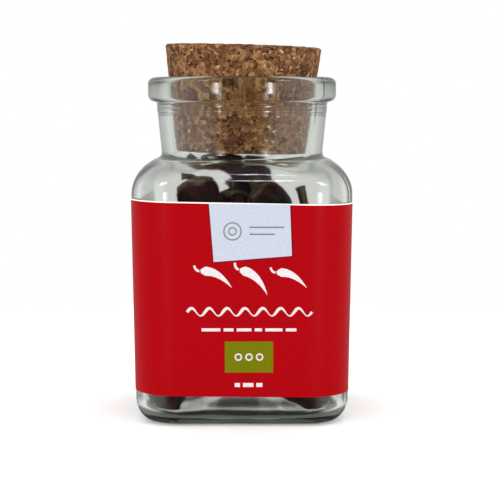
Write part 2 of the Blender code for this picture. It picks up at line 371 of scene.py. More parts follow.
def finish_piece(name: str, mesh: bmesh.types.BMesh, materials: Sequence[bpy.types.Material],
                 sharp_degrees: float = 40.0) -> bpy.types.Object:
    """Turns a bmesh in millimetres into a smooth-shaded object in metres.

    Args:
        name: The piece's name.
        mesh: The mesh, which is freed.
        materials: Its materials, in slot order.
        sharp_degrees: Edges that turn by more than this stay sharp.

    Returns:
        The object, at the origin, with its place in its mesh.
    """
    bmesh.ops.scale(mesh, vec=(MM, MM, MM), verts=mesh.verts)
    data = bpy.data.meshes.new(name)
    mesh.to_mesh(data)
    mesh.free()
    for material in materials:
        data.materials.append(material)
    data.shade_smooth()
    data.set_sharp_from_angle(angle=math.radians(sharp_degrees))
    piece = bpy.data.objects.new(name, data)
    bpy.context.scene.collection.objects.link(piece)
    return piece


def place_piece(piece: bpy.types.Object, replaced: Iterable[str] = ()) -> None:
    """Seats a finished piece on the jar's one body.

    Args:
        piece: The piece.
        replaced: CAD nodes that it stands for.
    """
    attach(piece, "root")
    for node in replaced:
        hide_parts(node)
    log.info("%s: %d faces", piece.name, len(piece.data.polygons))


def extrude_ring(mesh: bmesh.types.BMesh, order: list[bmesh.types.BMVert], points: Sequence[Vector]
                 ) -> list[bmesh.types.BMVert]:
    """Extrudes a closed ring of vertices onto new places.

    Args:
        mesh: The mesh.
        order: The last ring's vertices, in order.
        points: Where the new ring's vertices go, in the same order.

    Returns:
        The new ring's vertices, in order.
    """
    index = {vert: i for i, vert in enumerate(order)}
    edges = [mesh.edges.get((order[i - 1], order[i])) for i in range(len(order))]
    made = bmesh.ops.extrude_edge_only(mesh, edges=edges)["geom"]
    new_order: list[Any] = [None] * len(order)
    for vert in (part for part in made if isinstance(part, bmesh.types.BMVert)):
        for edge in vert.link_edges:
            at = index.get(edge.other_vert(vert))
            if at is not None:
                new_order[at] = vert
                vert.co = points[at]
    return new_order


def loft(rings: Sequence[Sequence[Vector]]) -> bmesh.types.BMesh:
    """Skins rings of equally many points, and draws the first and the last in to their middles.

    Args:
        rings: The rings, in order.

    Returns:
        The closed mesh, with its faces pointing out.
    """
    mesh = bmesh.new()
    bmesh.ops.create_circle(mesh, cap_ends=False, segments=len(rings[0]), radius=1.0)
    mesh.verts.ensure_lookup_table()
    first = order = list(mesh.verts)
    for vert, point in zip(first, rings[0]):
        vert.co = point
    for points in rings[1:]:
        order = extrude_ring(mesh, order, points)
    for ring in (first, order):
        middle = sum((vert.co for vert in ring), Vector()) / len(ring)
        tips = extrude_ring(mesh, ring, [middle] * len(ring))
        bmesh.ops.pointmerge(mesh, verts=tips, merge_co=middle)
    bmesh.ops.recalc_face_normals(mesh, faces=mesh.faces)
    return mesh


def full_turn(steps: int) -> list[float]:
    """Directions all the way round, evenly spaced."""
    return [2 * math.pi * i / steps for i in range(steps)]


def bend_between(start: Vector, bend: Vector, end: Vector, t: float) -> Vector:
    """A point on a quadratic curve, by the share of the way along."""
    return start * (1 - t)**2 + bend * 2 * t * (1 - t) + end * t * t


def ellipse_arc(centre: tuple[float, float], semi_axes: tuple[float, float], start: float, end: float,
                steps: int) -> Row:
    """Points along an elliptical arc.

    Args:
        centre: Half width and height of its centre.
        semi_axes: Its half width and half height.
        start: The angle that it starts at, in degrees.
        end: The angle that it ends at.
        steps: How many pieces it is cut into.

    Returns:
        Pairs of half width and height.
    """
    (middle, level), (width, height) = centre, semi_axes
    angles = [math.radians(start + (end - start) * i / steps) for i in range(steps + 1)]
    return [(middle + width * math.cos(a), level + height * math.sin(a)) for a in angles]


@dataclass(frozen=True)
class Ring:
    """One level of the jar: a rounded square, which is a circle where the corner equals the half width."""

    half: float
    corner: float
    z: float

    def reach(self, angle: float) -> float:
        """Distance from the axis to the outline in one direction.

        Args:
            angle: The direction, in radians from +X.

        Returns:
            The distance in millimetres.
        """
        folded = angle % (math.pi / 2)
        folded = min(folded, math.pi / 2 - folded)
        straight = self.half - self.corner
        if folded <= math.atan2(straight, self.half):
            return self.half / math.cos(folded)
        along = straight * (math.cos(folded) + math.sin(folded))
        return along + math.sqrt(along * along - 2 * straight * straight + self.corner**2)

    def front(self, x: float) -> float:
        """How far the front stands out from the axis.

        Args:
            x: The distance to one side.

        Returns:
            The distance in millimetres.
        """
        straight = self.half - self.corner
        past = max(0.0, abs(x) - straight)
        return straight + math.sqrt(max(0.0, self.corner**2 - past * past))

    def points(self, angles: Sequence[float]) -> list[Vector]:
        """The outline's points in these directions."""
        return [Vector((self.reach(a) * math.cos(a), self.reach(a) * math.sin(a), self.z)) for a in angles]


@dataclass
class GlassJar:
    """The jar: square body, round shoulder and neck, beaded rim, thick floor with a shallow push-up."""

    foot_half: float = 26.7
    shoulder_half: float = 27.499
    corner: float = 11.5
    foot_corner: float = 5.8
    heel: tuple[float, float] = (5.0, 6.0)
    shoulder_z: float = 57.0
    shoulder: tuple[float, float] = (8.0, 8.7)
    shoulder_sweep: float = 72.0
    neck_foot: tuple[float, float] = (20.8, 66.9)
    neck_fillet: float = 1.7
    neck_top_radius: float = 22.0
    parting_z: tuple[float, float] = (77.2, 78.2)
    parting_height: float = 0.1
    parting_turn: float = 0.12
    rim_radius: float = 24.25
    rim_foot_z: float = 79.8
    rim_undercut: float = 1.9
    rim_fillet: float = 0.4
    rim_crown: tuple[float, float] = (2.1, 1.6)
    top_z: float = 86.1
    lip_round: float = 2.0
    push_up: float = 3.2
    push_up_half: float = 20.0
    push_up_rounding: float = 0.4
    mouth_radius: float = 19.45
    neck_inside: tuple[float, float] = (18.0, 66.7)
    inner_turn: float = 2.4
    wall: float = 2.0
    shoulder_wall: float = 1.3
    floor_z: float = 2.2
    floor_crown: float = 3.0
    floor_round: tuple[float, float] = (2.4, 2.4)
    # The plunger leaves the inside less even than the mould leaves the outside, but the mouth is true
    unevenness: float = 0.16
    unevenness_size: float = 13.0
    even_above: float = 8.0
    even_fade: float = 12.0
    # Two halves of the mould meet on this line and on the one across from it
    seam_degrees: float = -31.5
    seam_half_width: float = 0.35
    seam_height: float = 0.07
    quadrant_steps: int = 44
    crowding: float = 0.55
    angles: list[float] = field(init=False)

    def __post_init__(self) -> None:
        """Works out the directions of the outline's points, crowded towards the corners."""
        self.angles = []
        for quadrant in range(4):
            for i in range(self.quadrant_steps):
                s = 2 * i / self.quadrant_steps - 1
                offset = 45 * s * (self.crowding + (1 - self.crowding) * s * s)
                self.angles.append(math.radians(90 * quadrant + 45 + offset))
        near = math.radians(self.seam_half_width)
        clear = [angle for angle in self.angles if self.from_seam(angle) > 1.6 * near]
        for turn in (0, math.pi):
            clear += [math.radians(self.seam_degrees) + turn + step * near for step in (-1, 0, 1)]
        self.angles = sorted(angle % math.tau for angle in clear)

    def from_seam(self, angle: float) -> float:
        """The angle between one direction and the nearer of the mould's two seams."""
        off = angle - math.radians(self.seam_degrees)
        return min(abs(math.remainder(off - turn, math.tau)) for turn in (0, math.pi))

    def seam(self, angle: float) -> float:
        """How far the mould's seam stands out in one direction."""
        return self.seam_height if self.from_seam(angle) < math.radians(self.seam_half_width) / 2 else 0.0

    def body_half(self, z: float) -> float:
        """Half the width of the flat sides at a height: they narrow a little towards the foot."""
        share = (z - self.heel[1]) / (self.shoulder_z - self.heel[1])
        return self.foot_half + (self.shoulder_half - self.foot_half) * share

    def body_ring(self, z: float, offset: float = 0.0) -> Ring:
        """The body's outline at a height, moved out by an offset."""
        return Ring(self.body_half(z) + offset, self.corner + offset, z)

    def shoulder_rings(self, thinner: float, inset: float, steps: int) -> list[Ring]:
        """Rings of the shoulder.

        Args:
            thinner: What is taken off the curve's two half widths.
            inset: How far inside the outer face of the body it starts.
            steps: How many pieces the curve is cut into.

        Returns:
            The rings, from the foot of the shoulder up.
        """
        width, height = self.shoulder[0] - thinner, self.shoulder[1] - thinner
        half, corner = self.shoulder_half - inset, self.corner - inset
        middle = half - width
        rings = []
        for a, z in ellipse_arc((middle, self.shoulder_z), (width, height), 0, self.shoulder_sweep, steps):
            share = 1 - (a - middle) / width
            rings.append(Ring(a, corner + (middle - corner) * share, z))
        return rings

    def outside(self) -> list[Ring]:
        """Rings from the middle of the underside up to the inner lip.

        Returns:
            The outer rings, in order.
        """
        rings = []
        for i in range(1, 13):
            share = i / 12
            half = self.push_up_half * share
            rings.append(Ring(half, half * self.push_up_rounding, self.push_up * (1 - share**2)))
        width, height = self.heel
        arc = ellipse_arc((self.foot_half - width, height), self.heel, -90, 0, 14)
        for i, (half, z) in enumerate(arc):
            share = i / (len(arc) - 1)
            rings.append(Ring(half, self.foot_corner + (self.corner - self.foot_corner) * share, z))
        for i in range(1, 12):
            rings.append(self.body_ring(height + (self.shoulder_z - height) * i / 12))
        rings += self.shoulder_rings(0.0, 0.0, 18)
        rings += [Ring(a, a, z) for a, z in self.neck_and_rim()]
        return rings

    def neck_and_rim(self) -> Row:
        """The round profile from the shoulder's hollow curve up over the bead to the inner lip.

        Returns:
            Pairs of radius and height.
        """
        foot_radius, foot_z = self.neck_foot
        hollow = (self.neck_fillet, self.neck_fillet)
        middle = (foot_radius + self.neck_fillet, foot_z)
        points = [*ellipse_arc(middle, hollow, 180 + self.shoulder_sweep, 180, 9)]
        neck_end = self.rim_foot_z - self.rim_fillet
        slope = (self.neck_top_radius - foot_radius) / (neck_end - foot_z)
        low, high = self.parting_z
        turn = self.parting_turn
        # Two sharp rings with a slight step between them, where the mould's neck ring met its body
        levels = [(z, 0.0) for z in (70.0, 73.0, 76.0)]
        levels += [(low - turn, 0.0), (low, 1.0), (low + turn, 0.5)]
        levels += [(high - turn, 0.5), (high, 1.0), (high + turn, 0.0)]
        for z, proud in levels + [(neck_end, 0.0)]:
            points.append((foot_radius + (z - foot_z) * slope + proud * self.parting_height, z))
        undercut = (self.rim_radius - self.rim_undercut, self.rim_foot_z + self.rim_undercut)
        crown = (self.rim_radius - self.rim_crown[0], self.top_z - self.rim_crown[1])
        lip = (self.mouth_radius + self.lip_round, self.top_z - self.lip_round)
        points += ellipse_arc(undercut, (self.rim_undercut, self.rim_undercut), -90, 0, 8)
        points += ellipse_arc(crown, self.rim_crown, 0, 90, 8)
        points += ellipse_arc(lip, (self.lip_round, self.lip_round), 90, 180, 6)
        return points

    def inside(self) -> list[Ring]:
        """Rings from the inner lip down to the middle of the floor.

        Returns:
            The inner rings, in order.
        """
        rings = []
        radius, foot_z = self.neck_inside
        lip_z = self.top_z - self.lip_round
        for i in range(1, 8):
            share = i / 7
            level = self.mouth_radius + (radius - self.mouth_radius) * share
            rings.append(Ring(level, level, lip_z + (foot_z - lip_z) * share))
        hollow = (self.inner_turn, self.inner_turn)
        turn = ellipse_arc((radius + self.inner_turn, foot_z), hollow, 180, 180 + self.shoulder_sweep, 10)
        rings += [Ring(a, a, z) for a, z in turn[1:]]
        rings += self.shoulder_rings(self.shoulder_wall, self.wall, 18)[::-1]
        inner_corner = self.corner - self.wall
        floor_top = self.floor_z + self.floor_round[1]
        for i in range(1, 12):
            z = self.shoulder_z + (floor_top - self.shoulder_z) * i / 12
            rings.append(self.body_ring(z, -self.wall))
        middle = self.foot_half - self.wall - self.floor_round[0]
        for half, z in ellipse_arc((middle, floor_top), self.floor_round, 0, -90, 14):
            rings.append(Ring(half, inner_corner, z))
        for i in range(1, 12):
            share = 1 - i / 12
            rings.append(Ring(middle * share, inner_corner * share,
                              self.floor_z + self.floor_crown * (1 - share**2)))
        return rings

    def build(self) -> None:
        """Builds the jar as one closed wall of glass."""
        outside, inside = self.outside(), self.inside()
        proud = [self.seam(angle) for angle in self.angles]
        rings = []
        for ring in outside:
            points = ring.points(self.angles)
            # The seam runs from the heel to the bead
            if ring.z > self.heel[1] / 2 and ring.half > self.mouth_radius + self.lip_round:
                points = [p + Vector((p.x, p.y, 0)).normalized() * out for p, out in zip(points, proud)]
            rings.append(points)
        for ring in inside:
            points = ring.points(self.angles)
            share = min(1.0, max(0.0, (self.neck_inside[1] + self.even_above - ring.z) / self.even_fade))
            for point in points:
                wave = noise.noise(point / self.unevenness_size) * self.unevenness * share
                point += wave * Vector((point.x, point.y, 0)).normalized() + Vector((0, 0, wave * 0.6))
            rings.append(points)
        piece = finish_piece("jar_glass", loft(rings), [ClearGlass().build()], 60)
        place_piece(piece, ["glass_jar"])


@dataclass
class CorkStopper:
    """The tapered stopper, a little crumbled along its edges and pitted all over."""

    foot_z: float = 66.9
    height: float = 27.1
    foot_radius: float = 16.75
    top_radius: float = 20.1
    edge: float = 0.4
    tilt_degrees: float = 1.6
    granule: float = 1.7
    relief: float = 0.14
    pit_depth: float = 0.66
    pit_spacing: float = 0.55
    pit_threshold: float = 0.28
    segments: int = 300
    spacing: float = 0.45

    def profile(self) -> Row:
        """Radius and height from the middle of the foot to the middle of the top.

        Returns:
            Points about as far apart as the spacing.
        """
        half = self.height / 2
        corners = [(0.5, -half), (self.foot_radius - self.edge, -half), (self.foot_radius, -half + self.edge),
                   (self.top_radius, half - self.edge), (self.top_radius - self.edge, half), (0.5, half)]
        points = [corners[0]]
        for (r0, z0), (r1, z1) in zip(corners, corners[1:]):
            steps = max(1, round(math.hypot(r1 - r0, z1 - z0) / self.spacing))
            for i in range(1, steps + 1):
                points.append((r0 + (r1 - r0) * i / steps, z0 + (z1 - z0) * i / steps))
        return points

    def sink(self, place: Vector) -> float:
        """How far the skin stands in or out at a place.

        Args:
            place: A point on the true cone.

        Returns:
            The distance along the normal, never above zero.
        """
        lump = noise.noise(place / self.granule) * self.relief
        elsewhere = place / (self.granule * self.pit_spacing) + Vector((9, 4, 2))
        pit = max(0.0, noise.noise(elsewhere) - self.pit_threshold)
        return min(0.0, lump - self.relief * 0.4) - pit * self.pit_depth

    def build(self) -> None:
        """Builds the stopper, leaning in the mouth."""
        turned = full_turn(self.segments)
        rings = [[Vector((r * math.cos(a), r * math.sin(a), z)) for a in turned] for r, z in self.profile()]
        mesh = loft(rings)
        mesh.normal_update()
        moves = [vert.normal * self.sink(vert.co) for vert in mesh.verts]
        for vert, move in zip(mesh.verts, moves):
            vert.co += move
        lean = Matrix.Rotation(math.radians(self.tilt_degrees), 3, "Y")
        bmesh.ops.rotate(mesh, cent=(0, 0, 0), matrix=lean, verts=mesh.verts)
        bmesh.ops.translate(mesh, vec=(0, 0, self.foot_z + self.height / 2), verts=mesh.verts)
        piece = finish_piece("stopper_cork", mesh, [PressedCork().build()], 70)
        place_piece(piece, ["cork_stopper"])


@dataclass
class PaperLabel:
    """The label: red paper glued over the front and both sides, which leaves the back of the jar clear."""

    jar: GlassJar
    foot_z: float = 7.7
    top_z: float = 55.5
    foot_slope: float = -0.007
    top_slope: float = -0.018
    end_y: float = 14.0
    glue: float = 0.03
    paper: float = 0.15
    bare_edge: float = 0.3
    rows: int = 8
    ink: float = 0.015
    ink_gap: float = 0.006

    def directions(self) -> list[float]:
        """The directions of the paper's upright sections, from its left end round the front to its right.

        Returns:
            The directions, in radians from +X.
        """
        end = math.atan2(self.end_y, self.jar.foot_half)
        middle = math.radians(270)
        reach = middle - (math.pi - end)
        inner = [a for a in (angle + math.tau * turn for angle in self.jar.angles for turn in (0, 1))
                 if abs(a - middle) < reach - 0.01]
        return [middle - reach, *sorted(inner), middle + reach]

    def edge(self, angle: float, share: float, offset: float) -> Vector:
        """A point of the paper.

        Args:
            angle: Its direction from the jar's axis.
            share: Its height, as a share of the red field's.
            offset: How far it stands off the glass.

        Returns:
            The point: the paper sits a little higher on its left.
        """
        z = self.foot_z + (self.top_z - self.bare_edge - self.foot_z) * share
        slope = self.foot_slope + (self.top_slope - self.foot_slope) * share
        level = self.jar.body_ring(z, offset)
        raised = z + slope * level.reach(angle) * math.cos(angle)
        return self.jar.body_ring(raised, offset).points([angle])[0]

    def build_band(self) -> None:
        """Builds the band, red outside, with a bare edge along its top and a bare inside."""
        inner, outer = self.glue, self.glue + self.paper
        shares = [i / self.rows for i in range(self.rows + 1)]
        shares.append(1 + self.bare_edge / (self.top_z - self.bare_edge - self.foot_z))
        sections = []
        for angle in self.directions():
            section = [self.edge(angle, share, inner) for share in shares]
            section += [self.edge(angle, share, outer) for share in reversed(shares)]
            sections.append(section)
        mesh = loft(sections)
        mesh.normal_update()
        for face in mesh.faces:
            middle = face.calc_center_median()
            faces_out = face.normal.dot(Vector((middle.x, middle.y, 0)).normalized()) > 0.4
            red_top = self.top_z - self.bare_edge + self.top_slope * middle.x
            face.material_index = 0 if faces_out and middle.z < red_top else 1
        red = PrintedPaper("coated_paper_printed_red", Ink.RED.value, roughness=0.36).build()
        bare = PrintedPaper("label_paper_bare", "F4F1EC", roughness=0.7).build()
        place_piece(finish_piece("label_band", mesh, [red, bare], 30), ["paper_label"])

    def on_front(self, x: float, z: float, lift: float) -> Vector:
        """A point on the label's front.

        Args:
            x: Distance to the right of the middle.
            z: Height.
            lift: Distance off the paper.

        Returns:
            The point.
        """
        ring = self.jar.body_ring(z, self.glue + self.paper + lift)
        return Vector((x, -ring.front(x), z))

    def print_layer(self, name: str, ink: Ink, shapes: Sequence[Outline], layer: int = 0) -> None:
        """Lays down one colour of print as a very thin film.

        Args:
            name: The film's name.
            ink: Its colour.
            shapes: What is printed in it.
            layer: How many films lie under it.
        """
        mesh = bmesh.new()
        lift = self.ink_gap + layer * (self.ink + self.ink_gap)
        for rows in shapes:
            across, up = len(rows[0]) - 1, len(rows) - 1
            made = bmesh.ops.create_grid(mesh, x_segments=across, y_segments=up, size=0.5)["verts"]
            for vert in made:
                x, z = rows[round((vert.co.y + 0.5) * up)][round((vert.co.x + 0.5) * across)]
                vert.co = self.on_front(x, z, lift)
        bmesh.ops.remove_doubles(mesh, verts=mesh.verts, dist=0.001)
        bmesh.ops.recalc_face_normals(mesh, faces=mesh.faces)
        bmesh.ops.reverse_faces(mesh, faces=[face for face in mesh.faces if face.normal.y > 0])
        bmesh.ops.solidify(mesh, geom=mesh.faces[:], thickness=self.ink)
        bmesh.ops.recalc_face_normals(mesh, faces=mesh.faces)
        finish = PrintedPaper(f"label_ink_{ink.name.lower()}", ink.value, roughness=0.45).build()
        place_piece(finish_piece(name, mesh, [finish], 30))


def quad(corners: Row, steps: int = 8) -> Outline:
    """A four-cornered field as rows of points.

    Args:
        corners: Bottom left, bottom right, top right and top left.
        steps: Rows and columns that it is cut into, so that it follows the paper.

    Returns:
        The rows, from the bottom up.
    """
    a, b, c, d = (Vector(corner) for corner in corners)
    rows = []
    for i in range(steps + 1):
        left, right = a.lerp(d, i / steps), b.lerp(c, i / steps)
        rows.append([tuple(left.lerp(right, j / steps)) for j in range(steps + 1)])
    return rows


def ribbon(path: Row, width: Callable[[float], float]) -> Outline:
    """A flat stroke whose width changes along it.

    Args:
        path: The points that its middle follows.
        width: Its width by the share of the way along.

    Returns:
        Rows of two points.
    """
    rows = []
    last = len(path) - 1
    for i, (x, z) in enumerate(path):
        before, after = path[max(0, i - 1)], path[min(last, i + 1)]
        along = Vector((after[0] - before[0], after[1] - before[1])).normalized()
        half = width(i / last) / 2
        rows.append([(x - along.y * half, z + along.x * half), (x + along.y * half, z - along.x * half)])
    return rows


@dataclass
class LabelPrint:
    """What is printed on the label's front: plain fields of colour and simple generic shapes."""

    label: PaperLabel
    tag: Row = ((-6.8, 41.1), (12.25, 42.6), (11.75, 55.15), (-7.9, 55.3))
    tag_shade: float = 0.3
    tag_rings: tuple[float, float] = (-2.2, 48.6)
    tag_radii: tuple[float, float] = (2.1, 0.9)
    ring_stroke: float = 0.3
    # Each line's middle, height and length
    tag_lines: tuple[tuple[float, float, float], ...] = ((6.1, 49.6, 8.4), (5.0, 47.9, 6.2))
    fine_stroke: float = 0.35
    green: tuple[float, float, float, float] = (-4.1, 7.7, 13.8, 21.5)
    green_ring: float = 0.75
    green_pitch: float = 2.6
    # Each pod's place, size and lean, and the curves along one pod and along its stalk
    pods: tuple[tuple[float, float, float, float], ...] = (
        (-6.6, 37.2, 1.0, 0.1), (2.6, 36.6, 1.05, -0.15), (11.8, 37.0, 0.95, 0.12))
    pod_line: Row = ((-3.2, 1.9), (0.8, 2.2), (4.0, -2.9))
    stalk_line: Row = ((-3.5, 2.0), (-4.5, 2.3), (-4.6, 3.5))
    pod_width: float = 2.3
    stalk_width: float = 0.55
    wave_ends: tuple[float, float] = (-13.3, 17.2)
    wave_z: float = 28.8
    wave_height: float = 0.95
    waves: int = 7
    # Where each row of bars is, how thick the bars are and how far apart
    bars_row: tuple[float, float, float, float] = (1.8, 24.4, 0.75, 0.8)
    bar_lengths: tuple[float, ...] = (4.6, 2.4, 3.6, 1.8, 4.2, 2.6)
    marks_row: tuple[float, float, float, float] = (1.7, 10.7, 1.0, 0.7)
    mark_lengths: tuple[float, ...] = (1.3, 2.6, 1.5)

    def pod(self, x: float, z: float, size: float, lean: float) -> list[Outline]:
        """One chilli pod with its stalk.

        Args:
            x: Its distance to the right.
            z: Its height.
            size: Its size, as a share of the usual.
            lean: How far it is turned to the left.

        Returns:
            The pod's two shapes.
        """
        turn = Matrix.Rotation(lean, 2)
        paths = []
        for line, steps in ((self.pod_line, 24), (self.stalk_line, 10)):
            ends = [Vector((x, z)) + turn @ Vector(point) * size for point in line]
            paths.append([tuple(bend_between(*ends, i / steps)) for i in range(steps + 1)])
        width = self.pod_width * size
        return [ribbon(paths[0], lambda t: width * (0.35 + 0.65 * min(1.0, t * 7)) * (1 - t**1.8)),
                ribbon(paths[1], lambda t: self.stalk_width * size)]

    def wave(self) -> Outline:
        """One hand-drawn wave across the label.

        Returns:
            The wave's shape, thicker on one slope than on the other.
        """
        steps = 120
        turns = 2 * math.pi * self.waves
        left, right = self.wave_ends
        path = []
        for t in (i / steps for i in range(steps + 1)):
            path.append((left + (right - left) * t, self.wave_z + self.wave_height * math.sin(t * turns)))
        return ribbon(path, lambda t: 0.5 + 0.25 * math.sin(t * turns + 0.8))

    def bars(self, centre: float, z: float, thickness: float, gap: float, lengths: Sequence[float]
             ) -> list[Outline]:
        """A row of short bars.

        Args:
            centre: The row's middle.
            z: The bars' height.
            thickness: How thick they are.
            gap: The space between two.
            lengths: Each bar's length.

        Returns:
            The bars' shapes.
        """
        shapes = []
        foot, top = z - thickness / 2, z + thickness / 2
        x = centre - (sum(lengths) + gap * (len(lengths) - 1)) / 2
        for length in lengths:
            shapes.append(quad(((x, foot), (x + length, foot), (x + length, top), (x, top)), 3))
            x += length + gap
        return shapes

    def ring(self, x: float, z: float, radius: float, thickness: float) -> Outline:
        """A plain ring.

        Args:
            x: Its middle's distance to the right.
            z: Its middle's height.
            radius: Its radius.
            thickness: How thick its line is.

        Returns:
            The ring's shape.
        """
        angles = [*full_turn(40), 2 * math.pi]
        path = [(x + radius * math.cos(a), z + radius * math.sin(a)) for a in angles]
        return ribbon(path, lambda t: thickness)

    def build(self) -> None:
        """Prints every colour."""
        label = self.label
        drop = self.tag_shade
        shade = [(x + drop * side, z - drop * 0.8) for (x, z), side in zip(self.tag, (-0.6, 1, 1, -0.6))]
        # The shade ends under the tag's top edge
        shade[2:] = [(x, self.tag[i][1] - 0.4) for i, (x, _) in enumerate(shade) if i >= 2]
        label.print_layer("print_tag_shade", Ink.RED_SHADE, [quad(shade)])
        label.print_layer("print_tag", Ink.PALE, [quad(self.tag)], 1)
        motif = [self.ring(*self.tag_rings, radius, self.ring_stroke) for radius in self.tag_radii]
        for centre, z, length in self.tag_lines:
            motif += self.bars(centre, z, self.fine_stroke, 0.0, (length,))
        label.print_layer("print_tag_motif", Ink.GREY, motif, 2)
        left, right, foot, top = self.green
        field_corners = ((left, foot), (right, foot), (right, top), (left, top))
        label.print_layer("print_green", Ink.GREEN, [quad(field_corners)])
        middle, level = (left + right) / 2, (foot + top) / 2
        rings = [self.ring(middle + self.green_pitch * i, level, self.green_ring, self.fine_stroke)
                 for i in (-1, 0, 1)]
        label.print_layer("print_green_motif", Ink.WHITE, rings, 1)
        white = [shape for pod in self.pods for shape in self.pod(*pod)] + [self.wave()]
        white += self.bars(*self.bars_row, self.bar_lengths)
        white += self.bars(*self.marks_row, self.mark_lengths)
        label.print_layer("print_white", Ink.WHITE, white)


@dataclass(frozen=True)
class ChilliPlace:
    """How one chilli lies: from its cut stalk, by its calyx and a bend, to its tip."""

    stem_end: tuple[float, float, float]
    calyx: tuple[float, float, float]
    bend: tuple[float, float, float]
    tip: tuple[float, float, float]
    radius: float
    flatness: float
    stalk_radius: float = 0.9
    tip_share: float = 0.2
    calyx_share: float = 0.62
    swell: float = 0.07


CHILLIES = (
    ChilliPlace((-15.2, -11.0, 61.2), (-12.0, -11.0, 60.0), (-8.4, -11.5, 48.8), (-3.0, -11.0, 14.0),
                5.6, 0.85),
    ChilliPlace((-13.6, -5.0, 66.0), (-9.5, -5.0, 64.4), (10.5, -5.5, 69.0), (-1.0, -3.0, 18.0), 4.8, 0.85,
                calyx_share=0.3, swell=0.45),
    ChilliPlace((3.0, -6.0, 60.5), (4.0, -10.5, 57.5), (12.0, -13.0, 50.0), (16.0, -9.0, 14.0), 5.5, 0.80),
    ChilliPlace((14.8, -8.0, 58.2), (16.8, -7.0, 49.0), (19.4, -4.0, 30.0), (17.0, 3.0, 9.0), 5.0, 0.85,
                stalk_radius=1.1),
    ChilliPlace((-17.2, -15.2, 52.0), (-17.2, -15.0, 46.0), (-18.4, -15.8, 26.0), (-18.9, -16.7, 5.7),
                5.5, 0.85, tip_share=0.85),
    ChilliPlace((-17.0, -11.0, 42.0), (-11.0, -14.5, 37.0), (5.0, -17.8, 12.0), (20.4, -16.4, 5.5),
                5.5, 0.80, tip_share=0.55),
    ChilliPlace((-17.5, 4.0, 52.0), (-16.0, 6.5, 47.0), (-16.5, 11.5, 26.0), (-15.0, 17.0, 4.8), 6.0, 0.85),
    ChilliPlace((12.0, 17.0, 50.0), (12.0, 15.5, 45.0), (16.5, 13.5, 28.0), (15.5, 17.2, 4.8), 5.8, 0.85),
    ChilliPlace((-4.0, 11.0, 59.0), (-2.5, 12.5, 55.0), (-2.0, 17.5, 30.0), (1.0, 16.6, 5.0), 6.4, 0.80),
    ChilliPlace((-1.0, 0.0, 12.0), (-0.5, 0.5, 16.0), (2.0, 2.5, 42.0), (3.4, 2.5, 63.0), 5.7, 0.85,
                tip_share=0.72),
    ChilliPlace((-1.8, -3.4, 61.0), (-1.8, -4.6, 57.0), (-1.6, -8.0, 44.0), (3.0, -6.0, 13.0), 5.4, 0.85),
    ChilliPlace((-17.0, 7.0, 35.0), (-14.0, 8.0, 33.0), (0.0, 13.0, 28.0), (16.0, 8.0, 24.0), 5.6, 0.85,
                tip_share=0.35),
)


